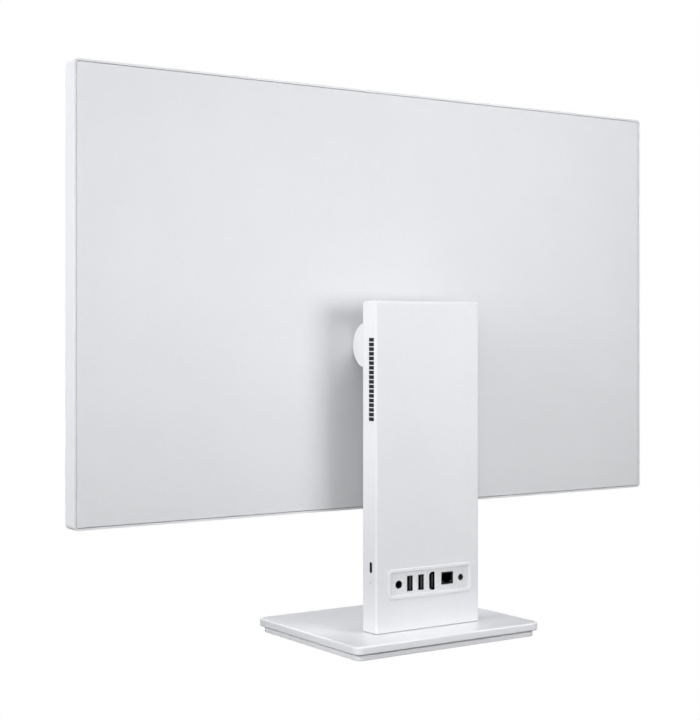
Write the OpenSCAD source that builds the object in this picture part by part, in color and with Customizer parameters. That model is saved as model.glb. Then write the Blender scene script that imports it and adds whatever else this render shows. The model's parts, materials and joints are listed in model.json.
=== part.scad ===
// All-in-one computer: a thin display on a stand column that holds the electronics.
// +Z is up, +Y points to the back of the computer and the screen faces -Y.
// The origin is the middle of the footprint, on the surface that the feet stand on.

/* [Display] */
// Overall width of the display
display_w = 615; // [612:0.5:630]
// Overall height of the display
display_h = 370; // [364:0.5:380]
// Overall thickness of the display
display_t = 17; // [17:0.5:24]
// Height of the display's lower edge above the base
display_lift = 100.3; // [90:0.1:110]
// Radius of the display's four corners
display_corner_r = 4; // [3:0.5:6]
// Thickness of the side frame's wall
frame_wall = 1.8; // [1.8:0.1:2.4]
// Width of the open seam round the rear cover
cover_seam = 0.4; // [0.4:0.1:1]
// Height of the strip under the screen
chin_h = 16; // [12:0.5:17]

/* [Column] */
// Width of the stand column
column_w = 111.6; // [110:0.2:116]
// Depth of the stand column
column_d = 20.3; // [20:0.1:22]
// Height of the stand column above the base
column_h = 283; // [280:1:295]
// Thickness of the column's walls
column_wall = 2; // [1.6:0.1:2]
// Distance from the column's back face to the back edge of the base
column_setback = 33.8; // [31:0.1:37]
// Radius of the column's upright edges
column_edge_r = 1.8; // [1:0.1:1.9]
// Radius along the column's top edge at the front
column_front_r = 5.5; // [3:0.5:5.5]
// Radius along the column's top edge at the back
column_back_r = 3; // [1:0.5:3]

/* [Base] */
// Width of the base
base_w = 197; // [190:1:230]
// Depth of the base
base_d = 158; // [150:1:170]
// Radius of the base's corners
base_corner_r = 7; // [6:0.5:14]
// Thickness of the base's upper plate
top_plate_t = 7; // [6.5:0.1:9]
// Radius of the upper plate's rounded rim
top_plate_edge_r = 1.5; // [1:0.1:3]
// Height of the shadow gap between the two plates
base_gap = 1; // [0.6:0.1:2]
// Thickness of the base's lower plate
bottom_plate_t = 4.4; // [4:0.1:6]
// How far the lower plate is set in from the upper plate's edge
bottom_inset = 3.6; // [3:0.1:8]
// How far the rubber feet stand out of the lower plate
foot_proud = 0.6; // [0.4:0.1:1.5]

/* [Tilt hinge] */
// Height of the tilt axis above the base
hinge_lift = 244.6; // [243:0.1:250]
// Open distance between the column and the display
display_gap = 32; // [31.6:0.2:33]
// Radius of the hinge barrel
barrel_r = 19.6; // [18.8:0.1:19.6]
// Half of the hinge barrel's width
barrel_half_w = 44; // [41:0.2:44]
// Radius of the hinge shafts
shaft_r = 5; // [4:0.5:6]

/* [Vents] */
// Number of vent slots in each side of the column
vent_count = 18; // [12:1:18]
// Distance from one vent slot to the next
vent_pitch = 3.97; // [3.8:0.01:4]
// Height of one vent slot
vent_slot_h = 3.25; // [1.5:0.05:3.25]
// Depth of one vent slot, from front to back
vent_slot_d = 7.5; // [5:0.1:8.5]
// Height of the highest slot's upper edge above the base
vent_top_lift = 251.2; // [249:0.1:252]
// Distance from the column's back face to the nearest edge of the slots
vent_setback = 3.1; // [3:0.1:3.5]

/* [Rear ports] */
// Width of the port panel's raised rim
panel_w = 91.2; // [89:0.2:94]
// Height of the port panel's raised rim
panel_h = 25.6; // [25:0.2:30]
// Offset of the port panel from the column's middle
panel_x = -1.5; // [-2.5:0.5:-1]
// Height of the port panel's middle above the base
panel_lift = 40.9; // [40:0.1:42]
// Width of the port panel's raised rim, seen from behind
panel_rim = 3; // [2.4:0.2:3.2]
// How far the rim stands out of the column
panel_proud = 1; // [0.6:0.1:1.5]
// Place of the power inlet across the column
dc_x = 31.7; // [31.2:0.1:32.2]
// Place of the outer data port across the column
usb_a_1_x = 19.9; // [19.4:0.1:20.4]
// Place of the inner data port across the column
usb_a_2_x = 7.9; // [7.4:0.1:8.4]
// Place of the video port across the column
hdmi_x = -3.9; // [-4.4:0.1:-3.4]
// Place of the network port across the column
ethernet_x = -20.7; // [-21.2:0.1:-20.2]
// Place of the headset socket across the column
audio_x = -35.6; // [-36.1:0.1:-35.1]

/* [Side controls] */
// Height of the side data port's middle above the base
usb_c_lift = 56.1; // [54:0.1:60]
// Distance from the column's back face to the side data port's middle
usb_c_setback = 7.6; // [7.2:0.1:8]
// Height of the status light above the base
led_lift = 43.2; // [40:0.1:46]
// Height of the power button's middle above the base
button_lift = 98; // [96:1:102]
// How far the power button travels
button_travel = 0.8; // [0.4:0.1:0.8]

/* [Hidden] */
$fn = 64;

// A hair of extra size, so that a cut passes right through a face
cut = 1;
// Clearance round a piece that is simply dropped into its place
loose = 0.1;
// Radial clearance of a turning shaft
running = 0.05;
// Radial clearance of a shaft or bush that is glued in
press_fit = 0.02;

// Heights of the base's layers
bottom_plate_z = foot_proud;
spacer_z = bottom_plate_z + bottom_plate_t;
top_plate_z = spacer_z + base_gap;
base_top = top_plate_z + top_plate_t;

// Planes of the column, from front to back
column_back = base_d / 2 - column_setback;
column_front = column_back - column_d;
column_top = base_top + column_h;
// The column's skin ends a hair above the base and leaves a shadow line
shell_bottom = base_top + 0.6;
front_cover_t = 1.8;
front_cover_top = column_top - 6.1;
spine_t = 1.2;
spine_y = column_front + front_cover_t;
spine_back = spine_y + spine_t;
board_t = 1;
board_y = spine_back + 1.1;
board_back = board_y + board_t;
inner_back = column_back - column_wall;
inner_half_w = column_w / 2 - column_wall;

// Tilt axis: the hinge barrel just clears the display's back face and dips into the column
barrel_clear = 0.3;
hinge_y = column_front - display_gap + barrel_r + barrel_clear;
hinge_z = base_top + hinge_lift;
end_cap_t = 1.8;
knuckle_inner = 22.3;
knuckle_outer = barrel_half_w - end_cap_t;
window_clear = 0.8;
barrel_window_half_w = barrel_half_w + window_clear;
barrel_window_half_h = sqrt(pow(barrel_r, 2) - pow(column_front - hinge_y, 2)) + window_clear;
neck_half_h = 8;

// Planes of the display, from back to front
display_back = column_front - display_gap;
display_front = display_back - display_t;
display_bottom = base_top + display_lift;
display_top = display_bottom + display_h;
display_z = display_bottom + display_h / 2;
back_cover_t = 2;
inside_w = display_w - 2 * frame_wall;
inside_h = display_h - 2 * frame_wall;
inside_bottom = display_bottom + frame_wall;
inside_top = display_top - frame_wall;
glass_t = 1.05;
glass_y = display_front + 0.1;
lcd_y = glass_y + glass_t + 0.05;
lcd_t = 1.4;
lcd_w = 604;
lcd_h = 343;
lcd_z = inside_top - 4 - lcd_h / 2;
pan_depth = 3.7;
pan_y = lcd_y + lcd_t + 0.1;
pan_back = pan_y + pan_depth;
pan_wall = 0.8;
chassis_y = pan_back + 0.1;
chassis_back = display_back - back_cover_t - 0.1;
chassis_rim = 6;
display_plate_t = 2.5;
display_plate_gap = 3.7;
display_plate_y = display_back - display_plate_gap - display_plate_t;
beam_x = 50;
beam_w = 16;
bracket_bolt_z = 36;

// Port panel
panel_z = base_top + panel_lift;
bezel_neck_w = panel_w - 4;
bezel_neck_h = panel_h - 4;
bezel_neck_r = 3;
plate_face = column_back - 0.4;
plate_t = 1.2;
ports_z = base_top + 40.4;
ethernet_z = base_top + 41.5;
audio_z = base_top + 40.8;
usb_a_w = 6.1;
usb_a_h = 13.3;
hdmi_w = 6;
hdmi_h = 15.7;
hdmi_chamfer = 2;
ethernet_w = 13;
ethernet_h = 10.9;
audio_ring_r = 2.9;
audio_bore_r = 1.75;
dc_r = 3.5;

// Side controls
usb_c_y = column_back - usb_c_setback;
usb_c_z = base_top + usb_c_lift;
usb_c_w = 3.75;
usb_c_h = 9.5;
led_y = column_back - 8.2;
led_z = base_top + led_lift;
led_r = 0.9;
button_z = base_top + button_lift;
button_w = 5;
button_h = 12;
button_proud = 0.3;

// Vents, blower and cooling
vent_top = base_top + vent_top_lift;
vent_low = vent_top - (vent_count - 1) * vent_pitch - vent_slot_h;
vent_y = column_back - vent_setback - vent_slot_d / 2;
blower_x = -8;
blower_z = base_top + 216;
blower_r = 34.5;
blower_y = inner_back - 8.9;
blower_back = inner_back - 0.2;
blower_wall = 0.9;
blower_outlet_x = 35;
rotor_r = 30;
rotor_hub_r = 12;
rotor_pin_r = 1.2;
blade_count = 25;
pipe_w = 8;
pipe_t = 2.4;
pipe_x = 42;
pipe_y = board_back + 4.5;
pipe_bend_r = 10;
processor_x = 2;
processor_z = base_top + 99;
processor_t = 1.2;
// How deep a chip is rooted in its board
chip_root = 0.2;

// Display cable
cable_half_w = 5;
cable_t = 0.8;
// The cable is parted at the tilt axis, with this gap on each side of it
cable_end_gap = 0.6;
connector_half_w = cable_half_w + 2;
cable_slot_half_w = 7;
cable_chamber_r = 12;
cable_chamber_half_w = 12;

// Circuit board in the column
board_low = base_top + 19;
board_high = base_top + 179;
board_half_w = 49.5;
board_hole_x = 45.5;
board_hole_zs = [board_low + 5, base_top + 84, board_high - 2.8];

// ---------- shared shapes ----------

// Block between its lowest and its highest corner
module block(low, high) {
    translate(low) cube(high - low);
}

// Flat rounded rectangle about the origin
module rounded_rect(w, h, r) {
    square([w - 2 * r, h], center = true);
    square([w, h - 2 * r], center = true);
    for (sx = [-1, 1], sy = [-1, 1])
        translate([sx * (w / 2 - r), sy * (h / 2 - r)]) circle(r);
}

// Upright rounded panel, facing front and back, between two Y planes
module upright(w, h, r, y0, y1, x = 0, z = 0) {
    translate([x, y1, z]) rotate([90, 0, 0]) linear_extrude(y1 - y0) rounded_rect(w, h, r);
}

// Rounded panel facing left and right, between two X planes
module sideways(d, h, r, x0, x1, y = 0, z = 0) {
    translate([x0, y, z]) rotate([90, 0, 90]) linear_extrude(x1 - x0) rounded_rect(d, h, r);
}

// Rounded panel lying flat, between two Z planes
module level(w, d, r, z0, z1, x = 0, y = 0) {
    translate([x, y, z0]) linear_extrude(z1 - z0) rounded_rect(w, d, r);
}

// Round rods along each axis
module rod_x(r, x0, x1, y, z) {
    translate([x0, y, z]) rotate([0, 90, 0]) cylinder(r = r, h = x1 - x0);
}

module rod_y(r, y0, y1, x, z) {
    translate([x, y1, z]) rotate([90, 0, 0]) cylinder(r = r, h = y1 - y0);
}

// The same rod along X on both sides of the middle
module rod_x_pair(r, x0, x1, y = hinge_y, z = hinge_z) {
    rod_x(r, x0, x1, y, z);
    rod_x(r, -x1, -x0, y, z);
}

// Plate with rounded corners and a rounded rim, built of two bars and four discs
module rounded_plate(w, d, corner_r, edge_r, z0, t) {
    translate([0, 0, z0 + t / 2]) {
        rotate([90, 0, 90]) linear_extrude(w - 2 * corner_r, center = true) rounded_rect(d, t, edge_r);
        rotate([90, 0, 0]) linear_extrude(d - 2 * corner_r, center = true) rounded_rect(w, t, edge_r);
        for (sx = [-1, 1], sy = [-1, 1])
            translate([sx * (w / 2 - corner_r), sy * (d / 2 - corner_r), 0])
                rotate_extrude() disc_profile(corner_r, t, edge_r);
    }
}

// Half of a disc's cross-section with a rounded rim
module disc_profile(r, t, edge_r) {
    translate([0, -t / 2]) square([r - edge_r, t]);
    translate([0, -t / 2 + edge_r]) square([r, t - 2 * edge_r]);
    for (side = [-1, 1])
        translate([r - edge_r, side * (t / 2 - edge_r)]) circle(edge_r);
}

// Pan-head screw along Y with its head at the back
module screw_y(x, z, head_y, tip_y, r, head_r, head_t) {
    rod_y(r, tip_y, head_y, x, z);
    rod_y(head_r, head_y, head_y + head_t, x, z);
}

// ---------- base ----------

corner_screw_x = base_w / 2 - 28;
corner_screw_y = base_d / 2 - 24;
foot_screw_y = column_back - 6;
foot_screw_xs = [-36, -12, 12, 36];
base_screw_r = 2;
base_screw_head_r = 3.8;
base_screw_head_t = 2;
base_screw_z = bottom_plate_z + 0.3;
corner_screw_tip = top_plate_z + 4;
column_foot_t = 2.5;
foot_screw_tip = base_top + column_foot_t + 1.5;

// Countersunk screw pointing up, with its head in the lower plate
module base_screw(x, y, tip_z, extra = 0) {
    translate([x, y, base_screw_z - extra]) {
        cylinder(r1 = base_screw_head_r + extra, r2 = base_screw_r + extra, h = base_screw_head_t);
        cylinder(r = base_screw_r + extra, h = tip_z - base_screw_z + 2 * extra);
    }
}

module all_base_screws(extra = 0) {
    for (sx = [-1, 1], sy = [-1, 1])
        base_screw(sx * corner_screw_x, sy * corner_screw_y, corner_screw_tip, extra);
    for (x = foot_screw_xs)
        base_screw(x, foot_screw_y, foot_screw_tip, extra);
}

// Round mouths that let the countersunk heads in from below
module base_screw_mouths() {
    mouth_z = bottom_plate_z - cut;
    for (sx = [-1, 1], sy = [-1, 1])
        translate([sx * corner_screw_x, sy * corner_screw_y, mouth_z])
            cylinder(r = base_screw_head_r + loose, h = base_screw_z - mouth_z);
    for (x = foot_screw_xs)
        translate([x, foot_screw_y, mouth_z])
            cylinder(r = base_screw_head_r + loose, h = base_screw_z - mouth_z);
}

module base_top_plate() {
    color("whitesmoke") difference() {
        rounded_plate(base_w, base_d, base_corner_r, top_plate_edge_r, top_plate_z, top_plate_t);
        all_base_screws(loose);
    }
}

module base_spacer() {
    spacer_inset = bottom_inset + 5;
    color("dimgray") difference() {
        level(base_w - 2 * spacer_inset, base_d - 2 * spacer_inset, 4, spacer_z, top_plate_z);
        all_base_screws(loose);
    }
}

foot_pad_w = 34;
foot_pad_d = 9;
foot_pad_t = 1.6;

module foot_pads(extra = 0) {
    pad_x = base_w / 2 - 34;
    pad_y = base_d / 2 - 12;
    for (sx = [-1, 1], sy = [-1, 1])
        level(foot_pad_w + 2 * extra, foot_pad_d + 2 * extra, foot_pad_d / 2 - 0.5, 0, foot_pad_t + extra,
            sx * pad_x, sy * pad_y);
}

module base_bottom_plate() {
    plate_w = base_w - 2 * bottom_inset;
    plate_d = base_d - 2 * bottom_inset;
    color("gainsboro") difference() {
        rounded_plate(plate_w, plate_d, base_corner_r - 2, 0.8, bottom_plate_z, bottom_plate_t);
        foot_pads(loose);
        all_base_screws(loose);
        base_screw_mouths();
    }
}

module rubber_feet() {
    color("gray") foot_pads();
}

module base_screws() {
    color("silver") all_base_screws();
}

// ---------- column structure ----------

// Angle that ties the column's spine to the base
module column_foot() {
    half_w = 48;
    leg_top = base_top + 16;
    color("darkgray") difference() {
        union() {
            block([-half_w, spine_back, base_top], [half_w, inner_back - 0.4, base_top + column_foot_t]);
            block([-half_w, spine_back, base_top], [half_w, spine_back + column_foot_t, leg_top]);
        }
        all_base_screws(loose);
    }
}

// Side view of the column with its two rounded top edges
module column_side_profile() {
    lower_h = column_h - column_front_r;
    translate([column_front, base_top]) square([column_d, lower_h]);
    translate([column_front + column_front_r, base_top])
        square([column_d - column_front_r - column_back_r, column_h]);
    translate([column_front + column_front_r, base_top])
        square([column_d - column_front_r, column_h - column_back_r]);
    translate([column_front + column_front_r, column_top - column_front_r]) circle(column_front_r);
    translate([column_back - column_back_r, column_top - column_back_r]) circle(column_back_r);
}

// Outer form of the column, rounded in plan, in side view and at its top corners
module column_form() {
    intersection() {
        translate([-column_w / 2, 0, 0]) rotate([90, 0, 90]) linear_extrude(column_w) column_side_profile();
        level(column_w, column_d, column_edge_r, base_top - cut, column_top + cut,
            0, (column_front + column_back) / 2);
        upright(column_w, column_h + 20, column_edge_r, column_front - cut, column_back + cut,
            0, column_top - column_h / 2 - 10);
    }
}

// Row of bars the size of the vent slots, between two X planes
module vent_bars(x0, x1, shrink = 0) {
    half_d = vent_slot_d / 2 - shrink;
    for (i = [0 : vent_count - 1]) {
        low = vent_low + i * vent_pitch;
        block([x0, vent_y - half_d, low + shrink], [x1, vent_y + half_d, low + vent_slot_h - shrink]);
    }
}

module column_shell() {
    cavity_top = column_top - 3;
    half = inner_half_w;
    button_gap = 0.3;
    neck_fit = 0.2;
    color("white") difference() {
        column_form();
        block([-half, spine_y - loose, base_top - cut], [half, inner_back, cavity_top]);
        block([-half, column_front - cut, base_top - cut], [half, spine_y, front_cover_top + loose]);
        vent_bars(-column_w, column_w);
        block([-column_w, column_front - cut, base_top - cut], [column_w, column_back + cut, shell_bottom]);
        upright(bezel_neck_w + neck_fit, bezel_neck_h + neck_fit, bezel_neck_r + neck_fit / 2,
            inner_back - cut, column_back + cut, panel_x, panel_z);
        sideways(usb_c_w, usb_c_h, usb_c_w / 2 - 0.05, 0, column_w, usb_c_y, usb_c_z);
        rod_x(led_r + loose, 0, column_w, led_y, led_z);
        sideways(button_w + button_gap, button_h + button_gap, button_w / 2, -column_w, 0,
            usb_c_y, button_z);
    }
}

module column_front_cover() {
    half = inner_half_w - loose;
    color("white") difference() {
        block([-half, column_front, shell_bottom], [half, spine_y, front_cover_top]);
        block([-barrel_window_half_w, column_front - cut, hinge_z - barrel_window_half_h],
            [barrel_window_half_w, spine_y + cut, hinge_z + barrel_window_half_h]);
    }
}

// Sheet-metal backbone with side flanges and pressed-in board pillars
module column_spine() {
    half = 51;
    low = base_top + 0.3;
    high = column_top - 7;
    flange_low = base_top + 20;
    flange_depth = 4;
    pillar_r = 2.6;
    window_half_w = half - 4;
    color("silver") difference() {
        union() {
            block([-half, spine_y, low], [half, spine_back, high]);
            for (side = [-1, 1])
                block([side * half - spine_t / 2, spine_y, flange_low],
                    [side * half + spine_t / 2, spine_back + flange_depth, high]);
            for (x = [-board_hole_x, board_hole_x], z = board_hole_zs)
                rod_y(pillar_r, spine_back - 0.5, board_y, x, z);
        }
        block([-window_half_w, spine_y - cut, hinge_z - barrel_window_half_h],
            [window_half_w, spine_back + cut, hinge_z + barrel_window_half_h]);
        for (x = [-board_hole_x, board_hole_x], z = board_hole_zs)
            rod_y(board_screw_r + running, spine_y - cut, board_y + cut, x, z);
        for (x = [-bracket_screw_x, bracket_screw_x], z = bracket_screw_zs)
            rod_y(bolt_r + running, spine_y - cut, spine_back + cut, x, z);
    }
}

// Fine dust screens whose raised pads fill the vent slots up to just below the surface
module vent_meshes() {
    inner_x = inner_half_w - 0.65;
    sheet_t = 0.5;
    pad_recess = 0.2;
    half_d = vent_slot_d / 2 + 0.8;
    overlap = 1.5;
    color("black") for (side = [0, 1]) mirror([side, 0, 0]) {
        block([inner_x, vent_y - half_d, vent_low - overlap],
            [inner_x + sheet_t, vent_y + half_d, vent_top + overlap]);
        vent_bars(inner_x + sheet_t - 0.1, column_w / 2 - pad_recess, 0.05);
    }
}

// ---------- tilt hinge, fixed half ----------

bracket_screw_x = 42;
bracket_screw_zs = [hinge_z - 23, hinge_z + 23];
bracket_t = 2.5;
bolt_r = 1.5;
board_screw_r = 1.2;
bush_r = shaft_r + 2;
bush_in = cable_chamber_half_w;
bush_out = knuckle_inner - 0.3;

// Mounting plate with the middle third of the hinge barrel
module column_hinge_bracket() {
    half_w = 47;
    half_h = 28;
    root_half_h = 10;
    sweep_gap = 0.4;
    slot_half_h = 3;
    sweep_below = 4;
    sweep_above = 11;
    color("lightgray") difference() {
        union() {
            block([-half_w, spine_back, hinge_z - half_h],
                [half_w, spine_back + bracket_t, hinge_z + half_h]);
            rod_x(barrel_r, -bush_out, bush_out, hinge_y, hinge_z);
            block([-bush_out, hinge_y + cable_chamber_r, hinge_z - root_half_h],
                [bush_out, spine_back + cut, hinge_z + root_half_h]);
        }
        rod_x_pair(barrel_r + sweep_gap, bush_out, half_w + cut);
        rod_x(bush_r + press_fit, -bush_out - cut, bush_out + cut, hinge_y, hinge_z);
        rod_x(cable_chamber_r, -cable_chamber_half_w, cable_chamber_half_w, hinge_y, hinge_z);
        block([-cable_slot_half_w, hinge_y, hinge_z - slot_half_h],
            [cable_slot_half_w, column_back, hinge_z + slot_half_h]);
        block([-cable_slot_half_w, hinge_y - barrel_r - cut, hinge_z - sweep_below],
            [cable_slot_half_w, hinge_y, hinge_z + sweep_above]);
        for (x = [-bracket_screw_x, bracket_screw_x], z = bracket_screw_zs)
            rod_y(bolt_r + running, spine_back - cut, spine_back + bracket_t + cut, x, z);
    }
}

module column_screws() {
    color("silver") {
        for (x = [-bracket_screw_x, bracket_screw_x], z = bracket_screw_zs)
            screw_y(x, z, spine_back + bracket_t, spine_y + 0.1, bolt_r, 2.8, 1.6);
        for (x = [-board_hole_x, board_hole_x], z = board_hole_zs)
            screw_y(x, z, board_back, spine_y + 0.4, board_screw_r, 2.3, 1.2);
    }
}

module hinge_bushes() {
    color("goldenrod") difference() {
        rod_x_pair(bush_r, bush_in, bush_out);
        rod_x_pair(shaft_r + running, bush_in - cut, bush_out + cut);
    }
}

// ---------- rear ports ----------

// Raised rim round the ports, with a neck through the shell
module port_bezel() {
    hole_w = panel_w - 2 * panel_rim;
    hole_h = panel_h - 2 * panel_rim;
    color("white") difference() {
        union() {
            upright(panel_w, panel_h, 5, column_back, column_back + panel_proud, panel_x, panel_z);
            upright(bezel_neck_w, bezel_neck_h, bezel_neck_r, inner_back - 0.6, column_back + 0.5,
                panel_x, panel_z);
        }
        upright(hole_w, hole_h, 2, inner_back - cut, column_back + panel_proud + cut, panel_x, panel_z);
    }
}

// Outline of the video port: a tall slot with its two corners cut on one side
module hdmi_outline(extra = 0) {
    half_w = hdmi_w / 2 + extra;
    half_h = hdmi_h / 2 + extra;
    polygon([
        [-half_w, -half_h], [half_w - hdmi_chamfer, -half_h], [half_w, -half_h + hdmi_chamfer],
        [half_w, half_h - hdmi_chamfer], [half_w - hdmi_chamfer, half_h], [-half_w, half_h]
    ]);
}

module hdmi_block(extra, y0, y1) {
    translate([hdmi_x, y1, ports_z]) rotate([90, 0, 0]) linear_extrude(y1 - y0) hdmi_outline(extra);
}

// Openings for every rear port
module port_openings() {
    y0 = plate_face - plate_t - cut;
    y1 = plate_face + cut;
    rod_y(dc_r, y0, y1, dc_x, ports_z);
    for (x = [usb_a_1_x, usb_a_2_x])
        upright(usb_a_w, usb_a_h, 0.4, y0, y1, x, ports_z);
    hdmi_block(0, y0, y1);
    upright(ethernet_w, ethernet_h, 0.3, y0, y1, ethernet_x, ethernet_z);
    rod_y(audio_ring_r, y0, y1, audio_x, audio_z);
}

module port_plate() {
    plate_w = panel_w - 2 * panel_rim - 0.1;
    plate_h = panel_h - 2 * panel_rim - 0.1;
    color("gainsboro") difference() {
        upright(plate_w, plate_h, 1.95, plate_face - plate_t, plate_face, panel_x, panel_z);
        port_openings();
    }
}

port_mouth = plate_face - 0.1;
port_fit = 0.06;
behind_plate = plate_face - plate_t - 0.1;
shell_floor_t = 1;
dc_floor_y = board_back + 2.5;

// Power inlet: a block with a round socket
module dc_jack() {
    bore_r = 2.95;
    half_w = 4.4;
    half_h = 5;
    color("black") difference() {
        union() {
            rod_y(dc_r - port_fit, board_back, port_mouth, dc_x, ports_z);
            block([dc_x - half_w, board_back, ports_z - half_h],
                [dc_x + half_w, behind_plate, ports_z + half_h]);
        }
        rod_y(bore_r, dc_floor_y, port_mouth + cut, dc_x, ports_z);
    }
}

module usb_a_shell(x) {
    wall = 0.35;
    outer_w = usb_a_w - 2 * port_fit;
    outer_h = usb_a_h - 2 * port_fit;
    color("dimgray") difference() {
        upright(outer_w, outer_h, 0.35, board_back, port_mouth, x, ports_z);
        upright(outer_w - 2 * wall, outer_h - 2 * wall, 0.1, board_back + shell_floor_t, port_mouth + cut,
            x, ports_z);
    }
}

module usb_a_shell_1() {
    usb_a_shell(usb_a_1_x);
}

module usb_a_shell_2() {
    usb_a_shell(usb_a_2_x);
}

module hdmi_shell() {
    wall = 0.4;
    color("dimgray") difference() {
        hdmi_block(-port_fit, board_back, port_mouth);
        hdmi_block(-port_fit - wall, board_back + shell_floor_t, port_mouth + cut);
    }
}

// Room in the network socket for the plug and its latch
plug_half_w = 5.9;
plug_low = 2.6;
plug_high = 4.5;
latch_half_w = 3.1;
latch_h = 2;
ethernet_floor_y = board_back + 1.2;

// Network socket, open for the plug and, below it, for the plug's latch
module ethernet_jack() {
    color("black") difference() {
        upright(ethernet_w - 2 * port_fit, ethernet_h - 2 * port_fit, 0.3, board_back, port_mouth,
            ethernet_x, ethernet_z);
        block([ethernet_x - plug_half_w, ethernet_floor_y, ethernet_z - plug_low],
            [ethernet_x + plug_half_w, port_mouth + cut, ethernet_z + plug_high]);
        block([ethernet_x - latch_half_w, ethernet_floor_y, ethernet_z - plug_low - latch_h],
            [ethernet_x + latch_half_w, port_mouth + cut, ethernet_z - plug_low + loose]);
    }
}

module audio_jack() {
    half_w = 3.6;
    color("gray") difference() {
        union() {
            rod_y(audio_ring_r - port_fit, board_back, port_mouth, audio_x, audio_z);
            block([audio_x - half_w, board_back, audio_z - half_w],
                [audio_x + half_w, behind_plate, audio_z + half_w]);
        }
        rod_y(audio_bore_r, board_back + 0.8, port_mouth + cut, audio_x, audio_z);
    }
}

// Insulating tongues that carry the contacts in the flat ports
module contact_tongues() {
    floor_y = board_back + shell_floor_t;
    tip_y = port_mouth - 1;
    usb_a_half_h = 5.4;
    usb_a_offset = 0.35;
    usb_a_t = 1.85;
    hdmi_half_h = 5.6;
    hdmi_offset = 0.6;
    hdmi_t = 1.1;
    usb_c_half_h = 3.3;
    usb_c_half_t = 0.35;
    color("black") {
        for (x = [usb_a_1_x, usb_a_2_x])
            block([x - usb_a_offset - usb_a_t, floor_y, ports_z - usb_a_half_h],
                [x - usb_a_offset, tip_y, ports_z + usb_a_half_h]);
        block([hdmi_x - hdmi_offset - hdmi_t, floor_y, ports_z - hdmi_half_h],
            [hdmi_x - hdmi_offset, tip_y, ports_z + hdmi_half_h]);
        block([usb_c_shell_x + 0.8, usb_c_y - usb_c_half_t, usb_c_z - usb_c_half_h],
            [column_w / 2 - 1, usb_c_y + usb_c_half_t, usb_c_z + usb_c_half_h]);
    }
}

// Pin of the power inlet and the eight springs of the network socket
module port_contacts() {
    pin_r = 0.85;
    contact_count = 8;
    contact_pitch = 1.02;
    contact_half_w = 0.25;
    contact_t = 0.7;
    pin_depth = 3;
    color("gold") {
        rod_y(pin_r, dc_floor_y, port_mouth - pin_depth, dc_x, ports_z);
        for (i = [0 : contact_count - 1]) {
            x = ethernet_x + (i - (contact_count - 1) / 2) * contact_pitch;
            block([x - contact_half_w, ethernet_floor_y, ethernet_z + plug_high - contact_t],
                [x + contact_half_w, port_mouth - 2, ethernet_z + plug_high]);
        }
    }
}

// ---------- side controls ----------

usb_c_shell_x = column_w / 2 - 9;
side_board_y = usb_c_y - usb_c_w / 2 - 0.8;

// Small board that carries the side port and the status light
module side_board() {
    inner_x = 38.5;
    low = led_z - 7.2;
    high = usb_c_z + 8;
    lamp_w = 2.1;
    lamp_half_h = 1.2;
    color("darkgreen") union() {
        block([inner_x, side_board_y - board_t, low], [inner_half_w - 0.5, side_board_y, high]);
        block([led_x - loose - lamp_w, side_board_y - board_t / 2, led_z - lamp_half_h],
            [led_x - loose, led_y + 0.8, led_z + lamp_half_h]);
    }
}

led_x = inner_half_w - 1.5;

module status_led() {
    color("lightcyan") rod_x(led_r, led_x, column_w / 2 - 0.15, led_y, led_z);
}

module usb_c_shell() {
    wall = 0.3;
    fit = 0.05;
    tab_w = 6;
    tab_half_h = 3;
    shell_d = usb_c_w - 2 * fit;
    shell_h = usb_c_h - 2 * fit;
    color("silver") difference() {
        union() {
            sideways(shell_d, shell_h, shell_d / 2 - 0.05, usb_c_shell_x, column_w / 2 - 0.2,
                usb_c_y, usb_c_z);
            block([usb_c_shell_x, side_board_y, usb_c_z - tab_half_h],
                [usb_c_shell_x + tab_w, usb_c_y - shell_d / 2 + wall, usb_c_z + tab_half_h]);
        }
        sideways(shell_d - 2 * wall, shell_h - 2 * wall, shell_d / 2 - wall - 0.05,
            usb_c_shell_x + 0.8, column_w / 2 + cut, usb_c_y, usb_c_z);
    }
}

button_flange_t = 0.9;
button_stem_end = -column_w / 2 + 5.2;

// Pill-shaped button with a flange that keeps it in its hole and a stem that reaches the switch
module power_button() {
    flange_x = -inner_half_w + 0.15;
    color("whitesmoke") {
        sideways(button_w, button_h, button_w / 2 - 0.1, -column_w / 2 - button_proud, flange_x + 0.3,
            usb_c_y, button_z);
        sideways(button_w + 2, button_h + 2, button_w / 2, flange_x, flange_x + button_flange_t,
            usb_c_y, button_z);
        rod_x(1.4, flange_x, button_stem_end, usb_c_y, button_z);
    }
}

// Push switch on its own small board
module power_switch() {
    switch_x = button_stem_end + button_travel + loose;
    switch_t = 3.2;
    half = 3;
    board_half_h = 8;
    color("darkslategray") {
        block([switch_x, usb_c_y - half, button_z - half],
            [switch_x + switch_t, usb_c_y + half, button_z + half]);
        block([switch_x + switch_t - 0.1, board_back, button_z - board_half_h],
            [switch_x + switch_t - 0.1 + board_t, usb_c_y + half + 1, button_z + board_half_h]);
    }
}

// ---------- electronics in the column ----------

// Chip on the back face of a board, given by its middle and its half sizes
module chip(x, z, half_w, half_h, face_y, t) {
    block([x - half_w, face_y - chip_root, z - half_h], [x + half_w, face_y + t, z + half_h]);
}

// Main board with its processor and the chips of its power supply
module main_board() {
    processor_half_w = 25;
    processor_half_h = 12;
    color("darkgreen") difference() {
        union() {
            block([-board_half_w, board_y, board_low], [board_half_w, board_back, board_high]);
            chip(processor_x, processor_z, processor_half_w, processor_half_h, board_back, processor_t);
            for (x = [-40, -31], z = [processor_z - 8, processor_z + 4])
                chip(x, z, 3, 4, board_back, 1);
        }
        for (x = [-board_hole_x, board_hole_x], z = board_hole_zs)
            rod_y(board_screw_r + loose, board_y - cut, board_back + cut, x, z);
    }
}

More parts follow.
